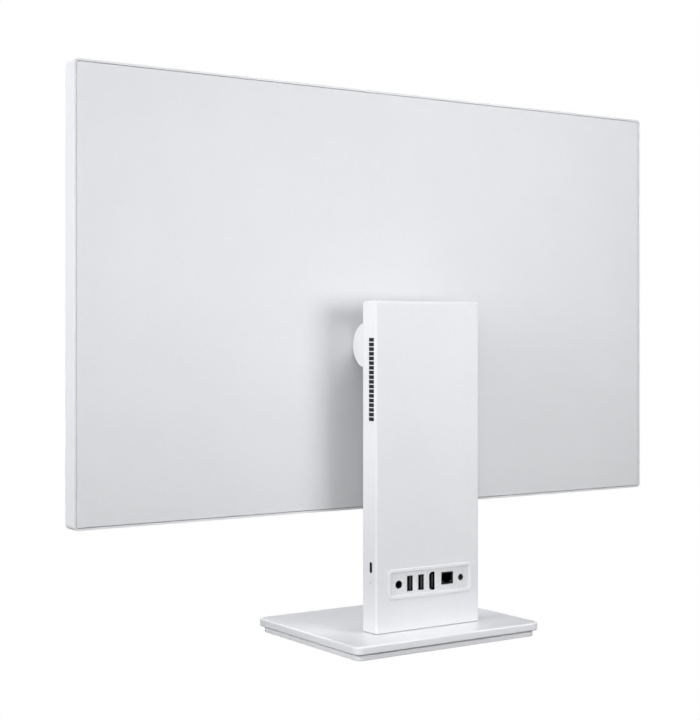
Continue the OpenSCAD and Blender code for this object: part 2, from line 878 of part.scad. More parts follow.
module cold_plate() {
    half_w = 28;
    half_h = 17;
    color("peru") block([processor_x - half_w, board_back + processor_t + running, processor_z - half_h],
        [processor_x + half_w, pipe_y, processor_z + half_h]);
}

// Flattened pipe that runs over the processor, bends and climbs to the fins
module heat_pipe() {
    start_x = -22;
    bend_x = pipe_x - pipe_bend_r;
    rise_start = processor_z + pipe_bend_r;
    edge_r = pipe_t / 2 - 0.1;
    middle_y = pipe_y + pipe_t / 2;
    color("chocolate") {
        translate([start_x, middle_y, processor_z]) rotate([90, 0, 90])
            linear_extrude(bend_x - start_x) rounded_rect(pipe_t, pipe_w, edge_r);
        translate([bend_x, middle_y, rise_start]) rotate([-90, 0, 0])
            rotate_extrude(angle = 90) translate([pipe_bend_r, 0]) rounded_rect(pipe_w, pipe_t, edge_r);
        translate([pipe_x, middle_y, rise_start])
            linear_extrude(vent_top - rise_start) rounded_rect(pipe_w, pipe_t, edge_r);
    }
}

// Stack of thin fins between the blower's outlet and the vent slots
module fin_stack() {
    fin_pitch = 2;
    fin_t = 0.4;
    plate_t = 0.5;
    low = blower_z - blower_r + 1;
    last = floor((2 * blower_r - 2) / fin_pitch);
    front = pipe_y + pipe_t;
    left = blower_outlet_x + 0.6;
    right = inner_half_w - 1.2;
    color("silver") {
        block([left, front, low], [right, front + plate_t, low + last * fin_pitch]);
        for (i = [0 : last])
            block([left, front, low + i * fin_pitch], [right, inner_back - 0.3, low + i * fin_pitch + fin_t]);
    }
}

// Plan of the blower: a round scroll that opens to one side
module blower_plan(r, outlet_x) {
    circle(r);
    translate([0, -r]) square([outlet_x - blower_x, 2 * r]);
}

module blower_housing() {
    inlet_r = 21;
    color("dimgray") difference() {
        translate([blower_x, blower_back, blower_z]) rotate([90, 0, 0])
            linear_extrude(blower_back - blower_y) blower_plan(blower_r, blower_outlet_x);
        translate([blower_x, blower_back - blower_wall, blower_z]) rotate([90, 0, 0])
            linear_extrude(blower_back - blower_y - 2 * blower_wall)
                blower_plan(blower_r - blower_wall, blower_outlet_x + cut);
        rod_y(inlet_r, blower_y - cut, blower_y + blower_wall + cut, blower_x, blower_z);
    }
}

rotor_front = blower_y + blower_wall + 0.5;
rotor_back = blower_back - blower_wall - 0.5;

// Bearing sleeve and coil body, fixed to the housing's floor
module blower_stator() {
    floor_y = blower_back - blower_wall;
    sleeve_r = 2.6;
    coil_r = 9;
    color("saddlebrown") difference() {
        union() {
            rod_y(sleeve_r, rotor_front + 1.6, floor_y, blower_x, blower_z);
            rod_y(coil_r, rotor_front + 2.2, floor_y, blower_x, blower_z);
        }
        rod_y(rotor_pin_r + running, rotor_front, floor_y + cut, blower_x, blower_z);
    }
}

// Impeller: a hollow hub with a pin and a ring of leaning blades
module blower_rotor() {
    blade_t = 0.6;
    blade_lean = 25;
    ring_t = 0.8;
    ring_w = 1.2;
    cup_r = rotor_hub_r - 1;
    color("black") {
        difference() {
            rod_y(rotor_hub_r, rotor_front, rotor_back, blower_x, blower_z);
            rod_y(cup_r, rotor_front + 1, rotor_back + cut, blower_x, blower_z);
        }
        rod_y(rotor_pin_r, rotor_front + 0.5, rotor_back, blower_x, blower_z);
        difference() {
            rod_y(rotor_r, rotor_back - ring_t, rotor_back, blower_x, blower_z);
            rod_y(rotor_r - ring_w, rotor_back - ring_t - cut, rotor_back + cut, blower_x, blower_z);
        }
        for (i = [0 : blade_count - 1])
            translate([blower_x, 0, blower_z]) rotate([0, i * 360 / blade_count, 0])
                translate([rotor_hub_r - 0.3, rotor_front + 0.6, 0]) rotate([0, blade_lean, 0])
                    cube([rotor_r - rotor_hub_r + 0.5, rotor_back - rotor_front - 0.6, blade_t]);
    }
}

// Cards that plug into the main board, by their ends and lower edges
memory_left = -46;
memory_right = 23.6;
memory_low = processor_z + 27;
memory_h = 30;
slim_card_left = -44.4;
slim_card_lift = 2.6;
slim_card_t = 0.8;
drive_low = base_top + 56;
drive_h = 22;
wireless_low = memory_low + memory_h + 2.5;
wireless_h = 15;

module memory_module() {
    y = board_back + 3;
    t = 1.2;
    chip_pitch = 16;
    color("green") {
        block([memory_left, y, memory_low], [memory_right, y + t, memory_low + memory_h]);
        for (i = [0 : 3])
            chip(memory_left + 7.25 + i * chip_pitch, memory_low + 15.5, 5.25, 6.5, y + t, 1);
    }
}

module solid_state_drive() {
    y = board_back + slim_card_lift;
    length = 80;
    color("seagreen") {
        block([slim_card_left, y, drive_low],
            [slim_card_left + length, y + slim_card_t, drive_low + drive_h]);
        for (x = [-22, 2])
            chip(x, drive_low + drive_h / 2, 8, 7, y + slim_card_t, 1.2);
    }
}

module wireless_card() {
    y = board_back + slim_card_lift;
    length = 30;
    color("darkgreen") {
        block([slim_card_left, y, wireless_low],
            [slim_card_left + length, y + slim_card_t, wireless_low + wireless_h]);
        chip(slim_card_left + length / 2, wireless_low + wireless_h / 2, 10, 5.5, y + slim_card_t, 1.3);
    }
}

// Edge sockets of the memory, the drive and the wireless card
module board_sockets() {
    fit = 0.05;
    memory_socket_h = 5;
    slim_socket_w = 4.5;
    slim_right = slim_card_left - fit;
    color("black") {
        block([memory_left - 1, board_back, memory_low - memory_socket_h],
            [memory_right + 1, board_back + 6, memory_low - fit]);
        for (card = [[drive_low, drive_h], [wireless_low, wireless_h]])
            block([slim_right - slim_socket_w, board_back, card[0]],
                [slim_right, board_back + slim_socket_w, card[0] + card[1]]);
    }
}

module coin_cell() {
    cell_r = 10;
    cell_t = 3.2;
    cell_x = 24;
    gap = 0.4;
    color("silver") rod_y(cell_r, board_back + gap, board_back + gap + cell_t, cell_x, wireless_low + 8.5);
}

// ---------- display cable ----------

cable_lead_y = blower_y - cable_t - 0.2;

// Flat cable from the main board up to the middle of the hinge barrel
module column_cable() {
    low = board_high - 9;
    high = hinge_z + cable_t / 2;
    lead_back = cable_lead_y + cable_t;
    color("dimgray") union() {
        block([-cable_half_w, cable_lead_y, low], [cable_half_w, lead_back, high]);
        block([-cable_half_w, hinge_y + cable_end_gap, high - cable_t], [cable_half_w, lead_back, high]);
        block([-connector_half_w, board_back, low - 4], [connector_half_w, lead_back, low + 0.5]);
    }
}

panel_board_low = inside_bottom + 26;
panel_board_high = panel_board_low + 34;
panel_board_y = chassis_y + 1.2;
panel_board_t = 1;

// Flat cable from the middle of the hinge barrel down to the panel board
module display_cable() {
    drop_y = display_plate_y - 1.4;
    low = panel_board_high - 8;
    high = hinge_z + cable_t / 2;
    color("dimgray") union() {
        block([-cable_half_w, drop_y, high - cable_t], [cable_half_w, hinge_y - cable_end_gap, high]);
        block([-cable_half_w, drop_y, low], [cable_half_w, drop_y + cable_t, high]);
        block([-connector_half_w, panel_board_y + panel_board_t, low - 5],
            [connector_half_w, drop_y + cable_t, low + 0.5]);
    }
}

// ---------- display ----------

speaker_x = 170;
speaker_w = 96;
speaker_slot_count = 12;
speaker_slot_pitch = 7;

// Sound slots through the display's lower edge
module speaker_slots(bottom, top) {
    slot_w = 4.6;
    slot_d = 1.8;
    slot_r = 0.8;
    for (side = [-1, 1], i = [0 : speaker_slot_count - 1]) {
        x = side * speaker_x + (i - (speaker_slot_count - 1) / 2) * speaker_slot_pitch;
        level(slot_w, slot_d, slot_r, bottom, top, x, (chassis_y + chassis_back) / 2);
    }
}

// Continuous white side frame
module display_frame() {
    color("white") difference() {
        upright(display_w, display_h, display_corner_r, display_front, display_back, 0, display_z);
        upright(inside_w, inside_h, display_corner_r - frame_wall, display_front - cut, display_back + cut,
            0, display_z);
        speaker_slots(display_bottom - cut, inside_bottom + cut);
    }
}

// Dark inner frame: a rim under the seam and two upright beams that carry the hinge
module display_chassis() {
    rim_w = inside_w - 0.2;
    rim_h = inside_h - 0.2;
    rim_r = display_corner_r - frame_wall - 0.1;
    beam_back = display_plate_y - 0.05;
    color("dimgray") difference() {
        union() {
            difference() {
                upright(rim_w, rim_h, rim_r, chassis_y, chassis_back, 0, display_z);
                upright(rim_w - 2 * chassis_rim, rim_h - 2 * chassis_rim, 2,
                    chassis_y - cut, chassis_back + cut, 0, display_z);
            }
            for (side = [-1, 1])
                block([side * beam_x - beam_w / 2, chassis_y, inside_bottom + 2],
                    [side * beam_x + beam_w / 2, beam_back, inside_top - 2]);
        }
        speaker_slots(display_bottom - cut, inside_bottom + chassis_rim + cut);
        for (x = [-beam_x, beam_x], z = [hinge_z - bracket_bolt_z, hinge_z + bracket_bolt_z])
            rod_y(bolt_r + loose, chassis_y - cut, beam_back + cut, x, z);
    }
}

module display_back_cover() {
    cable_hole_half_h = 3;
    cover_corner_r = display_corner_r - frame_wall - 0.5;
    color("whitesmoke") difference() {
        upright(inside_w - 2 * cover_seam, inside_h - 2 * cover_seam, cover_corner_r,
            display_back - back_cover_t, display_back, 0, display_z);
        hinge_necks(0.4);
        block([-cable_slot_half_w, display_back - back_cover_t - cut, hinge_z - cable_hole_half_h],
            [cable_slot_half_w, display_back + cut, hinge_z + cable_hole_half_h]);
    }
}

chin_top = inside_bottom + chin_h;

module front_glass() {
    glass_h = inside_top - 0.15 - chin_top - 0.2;
    color("black") upright(inside_w - 0.3, glass_h, display_corner_r - frame_wall, glass_y, glass_y + glass_t,
        0, inside_top - 0.15 - glass_h / 2);
}

// Strip under the screen, with its two lower corners rounded like the frame
module front_chin() {
    fit = 0.15;
    chin_t = 1.8;
    half_w = inside_w / 2 - fit;
    low = inside_bottom + fit;
    color("white") union() {
        upright(2 * half_w, chin_top - low, display_corner_r - frame_wall, glass_y, glass_y + chin_t,
            0, (low + chin_top) / 2);
        block([-half_w, glass_y, (low + chin_top) / 2], [half_w, glass_y + chin_t, chin_top]);
    }
}

module lcd_panel() {
    color("midnightblue") upright(lcd_w, lcd_h, 0.5, lcd_y, lcd_y + lcd_t, 0, lcd_z);
}

module panel_back_pan() {
    color("silver") difference() {
        upright(lcd_w, lcd_h, 0.5, pan_y, pan_back, 0, lcd_z);
        upright(lcd_w - 2 * pan_wall, lcd_h - 2 * pan_wall, 0.3, pan_y - cut, pan_back - pan_wall, 0, lcd_z);
    }
}

backlight_h = 3;
guide_t = 2;
guide_y = pan_back - pan_wall - 0.1 - guide_t;
guide_low = lcd_z - lcd_h / 2 + pan_wall + backlight_h + 0.4;

module light_guide() {
    guide_high = lcd_z + lcd_h / 2 - pan_wall - 0.4;
    color("azure") block([-lcd_w / 2 + pan_wall + 0.4, guide_y, guide_low],
        [lcd_w / 2 - pan_wall - 0.4, guide_y + guide_t, guide_high]);
}

module backlight_bar() {
    color("ivory") block([-lcd_w / 2 + 6, guide_y, guide_low - backlight_h - 0.2],
        [lcd_w / 2 - 6, guide_y + guide_t, guide_low - 0.2]);
}

module panel_board() {
    half_w = 38;
    back = panel_board_y + panel_board_t;
    pillar_r = 2;
    pillar_inset = 4;
    pillar_x = half_w - pillar_inset;
    color("darkgreen") union() {
        block([-half_w, panel_board_y, panel_board_low], [half_w, back, panel_board_high]);
        for (x = [-24, 24])
            chip(x, (panel_board_low + panel_board_high) / 2, 7, 7, back, 1.2);
        for (x = [-pillar_x, pillar_x], z = [panel_board_low + pillar_inset, panel_board_high - pillar_inset])
            rod_y(pillar_r, chassis_y, panel_board_y + panel_board_t / 2, x, z);
    }
}

module speakers() {
    low = inside_bottom + chassis_rim + 0.3;
    height = 18;
    color("black") for (side = [-1, 1])
        block([side * speaker_x - speaker_w / 2, chassis_y, low],
            [side * speaker_x + speaker_w / 2, chassis_back - 1, low + height]);
}

module webcam_module() {
    half_w = 12;
    high = inside_top - 0.2;
    low = high - 3.4;
    lens_r = 1.2;
    color("black") union() {
        block([-half_w, lcd_y + 0.1, low], [half_w, chassis_y - 0.2, high]);
        rod_y(lens_r, lcd_y, lcd_y + 0.3, 0, (low + high) / 2);
    }
}

// ---------- tilt hinge, moving half ----------

// The two necks that join the outer knuckles to the plate inside the display
module hinge_necks(extra = 0) {
    root_y = hinge_y - 8;
    for (x = [-knuckle_outer, knuckle_inner])
        block([x - extra, display_plate_y, hinge_z - neck_half_h - extra],
            [x + knuckle_outer - knuckle_inner + extra, root_y, hinge_z + neck_half_h + extra]);
}

// Plate inside the display with the two outer knuckles of the hinge barrel
module display_hinge_bracket() {
    half_w = 58;
    half_h = 43;
    cable_hole_half_h = 12;
    plate_back = display_plate_y + display_plate_t;
    color("lightgray") difference() {
        union() {
            block([-half_w, display_plate_y, hinge_z - half_h], [half_w, plate_back, hinge_z + half_h]);
            rod_x_pair(barrel_r, knuckle_inner, knuckle_outer);
            hinge_necks();
        }
        rod_x_pair(shaft_r + press_fit, knuckle_inner - cut, knuckle_outer + cut);
        block([-cable_slot_half_w, display_plate_y - cut, hinge_z - cable_hole_half_h],
            [cable_slot_half_w, plate_back + cut, hinge_z + cable_hole_half_h]);
        for (x = [-beam_x, beam_x], z = [hinge_z - bracket_bolt_z, hinge_z + bracket_bolt_z])
            rod_y(bolt_r + loose, display_plate_y - cut, plate_back + cut, x, z);
    }
}

module hinge_end_caps() {
    color("white") {
        rod_x_pair(barrel_r, knuckle_outer, barrel_half_w);
        rod_x_pair(shaft_r - 0.1, knuckle_outer - 1, knuckle_outer + 0.5);
    }
}

shaft_in = 8.4;
washer_t = 1.4;

// Stub shafts, each with a head that clamps the friction washers
module hinge_shafts() {
    color("silver") {
        rod_x_pair(shaft_r, shaft_in, knuckle_outer - 1.1);
        rod_x_pair(shaft_r + 2.5, shaft_in, bush_in - washer_t - 0.1);
    }
}

module friction_washers() {
    color("gray") difference() {
        rod_x_pair(shaft_r + 3, bush_in - washer_t - 0.05, bush_in - 0.05);
        rod_x_pair(shaft_r + running, bush_in - washer_t - cut, bush_in + cut);
    }
}

module display_screws() {
    color("silver") for (x = [-beam_x, beam_x], z = [hinge_z - bracket_bolt_z, hinge_z + bracket_bolt_z])
        screw_y(x, z, display_plate_y + display_plate_t, chassis_y + 0.5, bolt_r, 3, 1.4);
}

base_top_plate();
base_spacer();
base_bottom_plate();
rubber_feet();
base_screws();
column_foot();
column_shell();
column_front_cover();
column_spine();
vent_meshes();
column_hinge_bracket();
column_screws();
hinge_bushes();
port_bezel();
port_plate();
dc_jack();
usb_a_shell_1();
usb_a_shell_2();
hdmi_shell();
ethernet_jack();
audio_jack();
contact_tongues();
port_contacts();
side_board();
usb_c_shell();
status_led();
power_switch();
power_button();
main_board();
cold_plate();
heat_pipe();
fin_stack();
blower_housing();
blower_stator();
blower_rotor();
memory_module();
solid_state_drive();
wireless_card();
board_sockets();
coin_cell();
column_cable();
display_frame();
display_chassis();
display_back_cover();
front_glass();
front_chin();
lcd_panel();
light_guide();
backlight_bar();
panel_back_pan();
display_hinge_bracket();
hinge_end_caps();
hinge_shafts();
friction_washers();
display_screws();
panel_board();
speakers();
webcam_module();
display_cable();
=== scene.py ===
import json
import math

import bmesh
import bpy
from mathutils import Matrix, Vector


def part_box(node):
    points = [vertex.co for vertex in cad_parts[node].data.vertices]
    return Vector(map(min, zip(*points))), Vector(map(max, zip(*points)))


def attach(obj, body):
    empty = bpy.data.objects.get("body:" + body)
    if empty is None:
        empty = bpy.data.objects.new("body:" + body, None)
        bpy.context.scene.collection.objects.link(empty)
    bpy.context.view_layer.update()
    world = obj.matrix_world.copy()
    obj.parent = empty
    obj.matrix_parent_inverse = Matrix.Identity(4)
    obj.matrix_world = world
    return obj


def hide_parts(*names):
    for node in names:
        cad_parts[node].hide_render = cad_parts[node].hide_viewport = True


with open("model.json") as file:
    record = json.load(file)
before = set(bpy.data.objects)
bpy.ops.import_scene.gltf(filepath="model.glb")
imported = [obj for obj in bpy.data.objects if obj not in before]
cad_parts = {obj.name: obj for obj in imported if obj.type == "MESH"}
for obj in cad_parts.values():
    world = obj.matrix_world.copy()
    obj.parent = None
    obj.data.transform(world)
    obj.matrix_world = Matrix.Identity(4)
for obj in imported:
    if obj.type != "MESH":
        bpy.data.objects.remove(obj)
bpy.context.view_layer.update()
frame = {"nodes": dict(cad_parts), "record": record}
nodes = frame["nodes"]

MM = 0.001

# ---------------------------------------------------------------- camera

CAMERA_PLACE = (0.7876, 1.0760, 0.2666)
CAMERA_HEADING = 146.19  # degrees round Z; 0 looks along +Y
CAMERA_TILT = 90.05  # degrees; 90 is level
CAMERA_SENSOR = 36
CAMERA_LENS = 74.77
CAMERA_SHIFT = (0.0205, -0.0365)
CAMERA_CLIP = (0.05, 60)  # nearest and farthest seen, in metres


def make_camera():
    data = bpy.data.cameras.new("camera")
    data.sensor_width = CAMERA_SENSOR
    data.lens = CAMERA_LENS
    data.shift_x, data.shift_y = CAMERA_SHIFT
    data.clip_start, data.clip_end = CAMERA_CLIP
    camera = bpy.data.objects.new("camera", data)
    camera.location = CAMERA_PLACE
    camera.rotation_euler = (math.radians(CAMERA_TILT), 0, math.radians(CAMERA_HEADING))
    bpy.context.scene.collection.objects.link(camera)
    bpy.context.scene.camera = camera


# ---------------------------------------------------------------- materials

SOCKETS = {
    "metallic": "Metallic",
    "ior": "IOR",
    "specular": "Specular IOR Level",
    "coat": "Coat Weight",
    "coat_roughness": "Coat Roughness",
    "transmission": "Transmission Weight",
    "subsurface": "Subsurface Weight",
}
MIX_FACTOR, MIX_FIRST, MIX_SECOND, MIXED = 0, 6, 7, 2  # colour sockets of a Mix node

PLASTIC_TINT = 0.006  # how far a grey leans towards blue
PAINT_TINT = 0.008
STRIPES_PER_UNIT = 3.2  # of a wave texture at scale 1
EDGE_POINTINESS = (0.502, 0.56)  # from a flat face to an edge that is polished and painted paler as a highlight
EDGE_PALER = 0.3  # share of the paler colour along edges, a painted highlight
EDGE_LEVEL = 1.03  # brightness of that painted highlight colour, as a part of the body's own
DULL_METAL = 0.85  # brightness of the duller patches on metal


def grey(level, tint=0.0):
    """A grey that leans a little towards blue."""
    return (level * (1 - tint), level * (1 - tint / 3), level * (1 + tint), 1)


class Finish:
    """One procedural material, built up round a Principled shader."""

    def __init__(self, name, **sockets):
        self.name = name
        self.material = bpy.data.materials.new(name)
        self.material.use_nodes = True
        self.tree = self.material.node_tree
        self.shader = self.tree.nodes["Principled BSDF"]
        for socket, value in sockets.items():
            self.shader.inputs[SOCKETS[socket]].default_value = value
        self.place = self.add("ShaderNodeTexCoord").outputs["Object"]

    def add(self, kind):
        return self.tree.nodes.new(kind)

    def feed(self, value, socket):
        """Puts a number, a colour or another node's output on a socket."""
        if isinstance(value, (int, float, tuple)):
            socket.default_value = value
        else:
            self.tree.links.new(value, socket)

    def stretched(self, stretch):
        """Object coordinates, scaled differently along each axis."""
        mapping = self.add("ShaderNodeMapping")
        self.feed(stretch, mapping.inputs["Scale"])
        self.feed(self.place, mapping.inputs["Vector"])
        return mapping.outputs["Vector"]

    def noise(self, size, detail=2.0, stretch=None):
        """Cloudy pattern whose blotches are about size metres across."""
        texture = self.add("ShaderNodeTexNoise")
        self.feed(1 / size, texture.inputs["Scale"])
        self.feed(detail, texture.inputs["Detail"])
        self.feed(self.stretched(stretch) if stretch else self.place, texture.inputs["Vector"])
        return texture.outputs[0]

    def cells(self, size):
        """Pattern of rounded cells about size metres across."""
        texture = self.add("ShaderNodeTexVoronoi")
        self.feed(1 / size, texture.inputs["Scale"])
        self.feed(self.place, texture.inputs["Vector"])
        return texture.outputs["Distance"]

    def stripes(self, size, axis, profile="SIN"):
        """Regular stripes, size metres from one to the next, counted along one axis."""
        texture = self.add("ShaderNodeTexWave")
        texture.bands_direction = axis
        texture.wave_profile = profile
        self.feed(1 / (size * STRIPES_PER_UNIT), texture.inputs["Scale"])
        self.feed(self.place, texture.inputs["Vector"])
        return texture.outputs["Fac"]

    def spread(self, source, low, high, start=0.3, end=0.7):
        """Maps the pattern's values from start to end onto the range from low to high."""
        node = self.add("ShaderNodeMapRange")
        for socket, value in (("From Min", start), ("From Max", end), ("To Min", low), ("To Max", high)):
            self.feed(value, node.inputs[socket])
        self.feed(source, node.inputs["Value"])
        return node.outputs["Result"]

    def math(self, operation, first, second):
        """Combines two patterns, or a pattern and a number."""
        node = self.add("ShaderNodeMath")
        node.operation = operation
        self.feed(first, node.inputs[0])
        self.feed(second, node.inputs[1])
        return node.outputs[0]

    def average(self, first, second):
        return self.math("ADD", self.math("MULTIPLY", first, 0.5), self.math("MULTIPLY", second, 0.5))

    def blend(self, factor, first, second):
        """Colour that goes from first to second with the pattern."""
        node = self.add("ShaderNodeMix")
        node.data_type = "RGBA"
        self.feed(factor, node.inputs[MIX_FACTOR])
        self.feed(first, node.inputs[MIX_FIRST])
        self.feed(second, node.inputs[MIX_SECOND])
        return node.outputs[MIXED]

    def edges(self):
        """1 along edges, 0 on flat faces: where handling polishes the surface and a paler colour paints a
        highlight.
        """
        sharp = self.add("ShaderNodeNewGeometry").outputs["Pointiness"]
        patchiness = self.spread(self.noise(9 * MM, 3), 0.4, 1.0)
        return self.math("MULTIPLY", self.spread(sharp, 0, 1, *EDGE_POINTINESS), patchiness)

    def edge_wear_and_painted_highlight(self, body, paler, sheen, polish):
        """Body colour and roughness: smoother along the edges where handling polishes them, and paler there
        as a painted highlight.
        """
        wear_and_highlight = self.edges()
        # The paler colour along the edges is a painted highlight; the lower roughness there is handling
        # polish
        self.colour(self.blend(self.math("MULTIPLY", wear_and_highlight, EDGE_PALER), body, paler))
        self.roughness(self.math("SUBTRACT", sheen, self.math("MULTIPLY", wear_and_highlight, polish)))

    def colour(self, source):
        self.feed(source, self.shader.inputs["Base Color"])

    def roughness(self, source):
        self.feed(source, self.shader.inputs["Roughness"])

    def bump(self, height, depth):
        """Raises the surface by the pattern, depth metres at most. Calls stack."""
        node = self.add("ShaderNodeBump")
        node.inputs["Strength"].default_value = 1.0
        node.inputs["Distance"].default_value = depth
        self.feed(height, node.inputs["Height"])
        normal = self.shader.inputs["Normal"]
        if normal.is_linked:
            self.feed(normal.links[0].from_socket, node.inputs["Normal"])
        self.feed(node.outputs["Normal"], normal)


def moulded(name, level, rough, grain=0.35 * MM, grain_depth=0.012 * MM, mottle=0.025, speck=2.4 * MM):
    """Satin injection-moulded plastic: fine spark grain, faint flow clouds, and edges polished by handling
    and painted paler as a highlight.
    """
    finish = Finish(name, ior=1.46, specular=0.4)
    tone = finish.average(finish.noise(60 * MM, 3), finish.noise(speck, 4))
    darker = grey(level * (1 - mottle), PLASTIC_TINT)
    body = finish.blend(finish.spread(tone, 0, 1, 0.4, 0.6), darker, grey(level, PLASTIC_TINT))
    sheen = finish.spread(finish.noise(18 * MM, 3), rough - 0.05, rough + 0.06)
    # Edges: handling polish, plus a painted highlight in the paler colour
    finish.edge_wear_and_painted_highlight(body, grey(level * EDGE_LEVEL, PLASTIC_TINT), sheen, polish=0.08)
    finish.bump(finish.noise(grain, 2), grain_depth)
    return finish


def powder_coat(name, level, rough):
    """Painted metal with a fine orange-peel skin and faint brush lines under it."""
    finish = Finish(name, ior=1.5, coat=0.12, coat_roughness=0.25)
    lines = finish.noise(1.1 * MM, 3, stretch=(0.06, 1, 1))
    tone = finish.average(lines, finish.noise(45 * MM, 3))
    darker = grey(level * 0.965, PAINT_TINT)
    paint = finish.blend(finish.spread(tone, 0, 1, 0.38, 0.62), darker, grey(level, PAINT_TINT))
    sheen = finish.spread(lines, rough - 0.06, rough + 0.07)
    # Edges: handling polish, plus a painted highlight in the paler colour
    finish.edge_wear_and_painted_highlight(paint, grey(level * EDGE_LEVEL, PAINT_TINT), sheen, polish=0.1)
    finish.bump(finish.noise(0.9 * MM, 2), 0.02 * MM)
    finish.bump(lines, 0.008 * MM)
    return finish


def dark_plastic(name, level, rough):
    """Black or grey plastic with a coarse matt grain and dusty patches."""
    finish = Finish(name, ior=1.46)
    dust = finish.noise(9 * MM, 4)
    finish.colour(finish.blend(finish.spread(dust, 0, 1), grey(level * 0.8), grey(level * 1.25)))
    finish.roughness(finish.spread(finish.noise(4 * MM, 3), rough - 0.08, rough + 0.08))
    finish.bump(finish.cells(0.5 * MM), 0.03 * MM)
    return finish


def metal(name, colour, rough, brushed=(0.05, 1, 1)):
    """Bare or plated metal with fine brush lines and duller patches."""
    finish = Finish(name, metallic=1.0)
    lines = finish.noise(0.5 * MM, 3, stretch=brushed)
    patches = finish.noise(12 * MM, 3)
    darker = tuple(part * DULL_METAL for part in colour)
    finish.colour(finish.blend(finish.spread(patches, 0, 1), (*darker, 1), (*colour, 1)))
    finish.roughness(finish.spread(lines, rough - 0.07, rough + 0.1))
    finish.bump(lines, 0.01 * MM)
    return finish


def rubber(name, level):
    """Soft matt rubber with pores and patches of wear."""
    finish = Finish(name, ior=1.4)
    wear = finish.noise(6 * MM, 4)
    finish.colour(finish.blend(finish.spread(wear, 0, 1), grey(level * 0.8), grey(level * 1.2)))
    finish.roughness(finish.spread(wear, 0.72, 0.92))
    finish.bump(finish.noise(0.4 * MM, 3), 0.05 * MM)
    return finish


def circuit_board(name):
    """Solder mask over copper tracks, with pale pads."""
    mask_on_board = (0.008, 0.05, 0.028, 1)
    mask_on_copper = (0.02, 0.13, 0.07, 1)
    tinned_pad = (0.55, 0.5, 0.4, 1)
    finish = Finish(name, ior=1.5, coat=0.3, coat_roughness=0.2)
    across = finish.stripes(1.6 * MM, "X", "TRI")
    upwards = finish.stripes(1.9 * MM, "Z", "TRI")
    tracks = finish.math("MULTIPLY", across, upwards)
    mask = finish.blend(finish.spread(tracks, 0, 1, 0.2, 0.5), mask_on_board, mask_on_copper)
    pads = finish.spread(finish.cells(3.1 * MM), 1, 0, 0.08, 0.12)
    finish.colour(finish.blend(pads, mask, tinned_pad))
    finish.roughness(finish.spread(tracks, 0.3, 0.45))
    finish.bump(tracks, 0.04 * MM)
    return finish


def cable_film(name):
    """Flat ribbon cable with its wires showing through the film."""
    finish = Finish(name, ior=1.5)
    wires = finish.stripes(0.5 * MM, "X")
    finish.colour(finish.blend(wires, grey(0.03), grey(0.09)))
    finish.roughness(finish.spread(finish.noise(5 * MM), 0.35, 0.5))
    finish.bump(wires, 0.06 * MM)
    return finish


def dust_screen(name):
    """Woven screen: fine holes between crossed threads."""
    finish = Finish(name, ior=1.45)
    weave = finish.math("MAXIMUM", finish.stripes(0.9 * MM, "Y"), finish.stripes(0.9 * MM, "Z"))
    finish.colour(finish.blend(weave, grey(0.001), grey(0.011)))
    finish.roughness(finish.spread(weave, 0.95, 0.75, 0, 1))
    finish.bump(weave, 0.15 * MM)
    return finish


def acrylic(name):
    """Clear light guide with rows of printed dots."""
    printed_dot = (0.9, 0.93, 0.95, 1)
    clear = (0.72, 0.78, 0.82, 1)
    finish = Finish(name, ior=1.49, transmission=0.6)
    dots = finish.cells(2.2 * MM)
    finish.colour(finish.blend(finish.spread(dots, 0, 1, 0.2, 0.4), printed_dot, clear))
    finish.roughness(finish.spread(dots, 0.35, 0.08, 0.2, 0.4))
    finish.bump(dots, 0.03 * MM)
    return finish


def light_pipe(name):
    """Milky window of the status light, unlit."""
    finish = Finish(name, ior=1.5, subsurface=0.3)
    haze = finish.noise(0.8 * MM, 3)
    finish.colour(finish.blend(finish.spread(haze, 0, 1), (0.58, 0.6, 0.62, 1), (0.68, 0.7, 0.73, 1)))
    finish.roughness(finish.spread(haze, 0.2, 0.35))
    finish.bump(haze, 0.01 * MM)
    return finish


def light_strip(name):
    """White strip with a yellow emitter every few millimetres."""
    strip_white = (0.8, 0.8, 0.78, 1)
    emitter_yellow = (0.75, 0.6, 0.12, 1)
    finish = Finish(name, ior=1.5)
    emitters = finish.stripes(7 * MM, "X")
    finish.colour(finish.blend(finish.spread(emitters, 0, 1, 0.75, 0.8), strip_white, emitter_yellow))
    finish.roughness(finish.spread(emitters, 0.5, 0.3, 0.7, 0.9))
    finish.bump(emitters, 0.05 * MM)
    return finish


def screen_glass(name, low, high):
    """Gloss glass, black round its edge, over a slightly paler screen that is switched off."""
    border = (0.0035, 0.0035, 0.0038, 1)
    screen = (0.009, 0.009, 0.0105, 1)
    finish = Finish(name, ior=1.52, coat=0.2, coat_roughness=0.05)
    axes = finish.add("ShaderNodeSeparateXYZ")
    finish.feed(finish.place, axes.inputs[0])
    inside = 1.0
    for axis in (0, 2):
        middle, half = (low[axis] + high[axis]) / 2, (high[axis] - low[axis]) / 2
        away = finish.math("ABSOLUTE", finish.math("SUBTRACT", axes.outputs[axis], middle), 0)
        inside = finish.math("MULTIPLY", inside, finish.math("LESS_THAN", away, half))
    finish.colour(finish.blend(inside, border, screen))
    smears = finish.noise(55 * MM, 5)
    fine = finish.noise(7 * MM, 4)
    gloss = finish.math("ADD", finish.spread(smears, 0.03, 0.09), finish.spread(fine, -0.01, 0.015))
    finish.roughness(finish.math("ADD", gloss, finish.math("MULTIPLY", inside, 0.06)))
    finish.bump(smears, 0.004 * MM)
    return finish


# ---------------------------------------------------------------- studio

